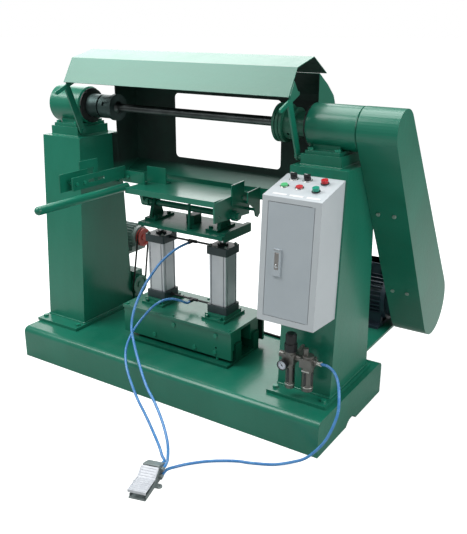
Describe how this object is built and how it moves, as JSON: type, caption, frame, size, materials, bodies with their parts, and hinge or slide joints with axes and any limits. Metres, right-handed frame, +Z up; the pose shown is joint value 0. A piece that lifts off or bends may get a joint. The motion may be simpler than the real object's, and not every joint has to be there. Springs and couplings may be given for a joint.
{
  "type": "cutlery polishing machine",
  "caption": "Bench-height polishing machine: belt-driven spindle on two columns over an air-lifted, rocking table on a sliding carriage, with hood, guard, control box and foot valve.",
  "frame": {"origin": "centre of the base's underside, on the floor", "axes": "+X along the spindle to the belt guard, -Y to the operator, +Z up"},
  "size_m": [1.835, 1.7445, 1.533],
  "materials": {
    "machine_green": "glossy deep green enamel over steel plate",
    "box_grey": "semi-gloss light grey enamel",
    "motor_slate": "satin slate enamel on cast iron fins",
    "motor_light": "light grey enamel on aluminium fins",
    "zinc_steel": "dull zinc plating",
    "machined_steel": "ground and lightly oiled",
    "chrome_rod": "bright hard chrome",
    "bare_aluminium": "drawn and anodised",
    "cap_slate": "dark slate enamel on castings",
    "cast_grey": "painted die casting with plastic bowls",
    "brass_fitting": "nickel-washed brass",
    "dark_rubber": "oily black seal rubber",
    "belt_rubber": "dusty fabric-backed rubber",
    "black_iron": "blackened, worn bright on its edges",
    "cable_black": "black cable sheath",
    "valve_casting": "sand-cast aluminium, grey-green",
    "pedal_silver": "cast aluminium treadle, silver paint",
    "gauge_black": "black gauge case with a clear lens",
    "selector_black": "gloss black",
    "lamp_plastic": "coloured lenses, one green and one red",
    "button_red": "gloss red",
    "button_green": "gloss green",
    "pulley_red": "red enamel",
    "pulley_green": "green enamel",
    "hose_blue": "smooth blue polyurethane"
  },
  "bodies": {
    "machine": {"base_frame": "machine_green", "left_column": "machine_green", "right_column": "machine_green", "frame_bolts": "zinc_steel", "spacer_blocks": "machine_green", "left_housing": "machine_green", "right_housing": "machine_green", "bearing_seals": "dark_rubber", "hood": "machine_green", "hood_arms": "machine_green", "rear_shield": "machine_green", "belt_guard": "machine_green", "drive_belts": "belt_rubber", "main_motor": "motor_slate", "motor_bracket": "machine_green", "control_box": "box_grey", "pilot_lamps": "lamp_plastic", "air_unit": "cast_grey", "pressure_gauge": "gauge_black", "air_elbow": "brass_fitting", "slide_rails": "machined_steel", "traverse_motor": "motor_light", "traverse_gearbox": "machine_green", "traverse_belt": "belt_rubber", "base_cable": "cable_black", "foot_valve": "valve_casting", "hose_upper": "hose_blue", "hose_lower": "hose_blue", "hose_supply": "hose_blue"},
    "carriage": {"carriage_box": "machine_green", "carriage_bolts": "zinc_steel", "cylinder_barrels": "bare_aluminium", "cylinder_caps": "cap_slate", "cylinder_feet": "machine_green", "air_tees": "cable_black", "push_rod": "machined_steel"},
    "lift": {"piston_rods": "chrome_rod", "lift_plate": "machine_green", "tilt_bearings": "machine_green"},
    "table": {"table_plate": "machine_green", "tilt_shaft": "machine_green", "right_bracket": "machine_green", "left_bracket": "machine_green", "table_guides": "machine_green", "table_bolts": "zinc_steel", "handle": "machine_green"},
    "door": {"box_door": "box_grey"},
    "latch": {"door_latch": "chrome_rod"},
    "red_push": {"red_button": "button_red"},
    "green_push": {"green_button": "button_green"},
    "left_switch": {"left_selector": "selector_black"},
    "right_switch": {"right_selector": "selector_black"},
    "air_knob": {"regulator_knob": "selector_black"},
    "pedal": {"foot_pedal": "pedal_silver"},
    "spindle": {"spindle_shaft": "chrome_rod", "spindle_collars": "black_iron", "spindle_pulley": "black_iron"},
    "motor_rotor": {"motor_pulley": "black_iron"},
    "traverse_rotor": {"traverse_pulley": "pulley_red"},
    "gearbox_input": {"gearbox_pulley": "pulley_green"}
  },
  "joints": [
    {"name": "spindle_spin", "type": "hinge", "parent": "machine", "child": "spindle", "pos_m": [0, 0.052, 1.268], "axis": [1, 0, 0], "continuous": true},
    {"name": "motor_spin", "type": "hinge", "parent": "machine", "child": "motor_rotor", "pos_m": [0, 0.657, 0.365], "axis": [1, 0, 0], "continuous": true},
    {"name": "gearbox_spin", "type": "hinge", "parent": "machine", "child": "gearbox_input", "pos_m": [0, 0.282, 0.262], "axis": [1, 0, 0], "continuous": true},
    {"name": "traverse_spin", "type": "hinge", "parent": "machine", "child": "traverse_rotor", "pos_m": [0, 0.33, 0.526], "axis": [1, 0, 0], "continuous": true},
    {"name": "carriage_slide", "type": "slide", "parent": "machine", "child": "carriage", "axis": [1, 0, 0], "range_m": [-0.025, 0.025]},
    {"name": "lift_slide", "type": "slide", "parent": "carriage", "child": "lift", "axis": [0, 0, 1], "range_m": [0, 0.12]},
    {"name": "table_tilt", "type": "hinge", "parent": "lift", "child": "table", "pos_m": [0, 0.045, 0.832], "axis": [1, 0, 0], "range_deg": [-8, 8]},
    {"name": "door_hinge", "type": "hinge", "parent": "machine", "child": "door", "pos_m": [0.771, -0.31348, 0.53929], "axis": [0, 0.0599, 0.9982], "range_deg": [0, 110]},
    {"name": "latch_lever", "type": "hinge", "parent": "door", "child": "latch", "pos_m": [0.676, -0.3045, 0.82599], "axis": [-1, 0, 0], "range_deg": [0, 35]},
    {"name": "red_press", "type": "slide", "parent": "machine", "child": "red_push", "axis": [0, 0.2406, -0.9706], "range_m": [0, 0.004], "stiffness_N_per_m": 800, "springref_m": -0.002},
    {"name": "green_press", "type": "slide", "parent": "machine", "child": "green_push", "axis": [0, 0.2406, -0.9706], "range_m": [0, 0.004], "stiffness_N_per_m": 800, "springref_m": -0.002},
    {"name": "left_turn", "type": "hinge", "parent": "machine", "child": "left_switch", "pos_m": [0.6004, -0.13059, 1.08131], "axis": [0, -0.2406, 0.9706], "range_deg": [-45, 45]},
    {"name": "right_turn", "type": "hinge", "parent": "machine", "child": "right_switch", "pos_m": [0.65962, -0.13059, 1.08131], "axis": [0, -0.2406, 0.9706], "range_deg": [-45, 45]},
    {"name": "regulator_turn", "type": "hinge", "parent": "machine", "child": "air_knob", "pos_m": [0.655, -0.2154, 0.4], "axis": [0, 0, 1], "continuous": true},
    {"name": "pedal_press", "type": "hinge", "parent": "machine", "child": "pedal", "pos_m": [0.38195, -0.81658, 0.04818], "axis": [0.9659, 0.2588, 0], "range_deg": [0, 8], "stiffness_Nm_per_rad": 12, "springref_deg": -6.88}
  ],
  "couplings": [
    {"joint": "motor_spin", "follows": "spindle_spin", "ratio": 0.54035},
    {"joint": "traverse_spin", "follows": "gearbox_spin", "ratio": 1.1114}
  ]
}
